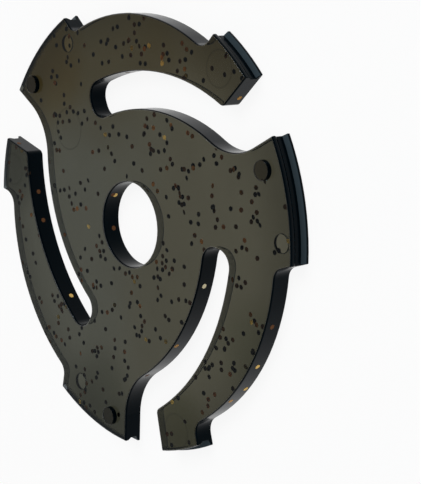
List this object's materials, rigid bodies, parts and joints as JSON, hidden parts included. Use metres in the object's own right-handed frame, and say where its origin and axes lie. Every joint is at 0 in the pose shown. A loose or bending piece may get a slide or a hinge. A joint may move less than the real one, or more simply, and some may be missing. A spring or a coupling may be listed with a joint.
{
  "type": "record spindle adapter",
  "caption": "Flat one-piece insert with a spindle bore, three grooved rim pads and three spring arms, for the wide centre hole of a record.",
  "frame": {"origin": "centre of the spindle bore, at the back face that the adapter lies on", "axes": "+Z along the bore axis, from the back flange to the front face; +Y through the middle of the first rim pad; +X to its right"},
  "size_m": [0.0385, 0.0385, 0.0021],
  "materials": {
    "tinted_plastic": "glossy tinted clear plastic, filled with fine gold flakes"
  },
  "bodies": {
    "root": {"adapter": "tinted_plastic"}
  },
  "joints": []
}
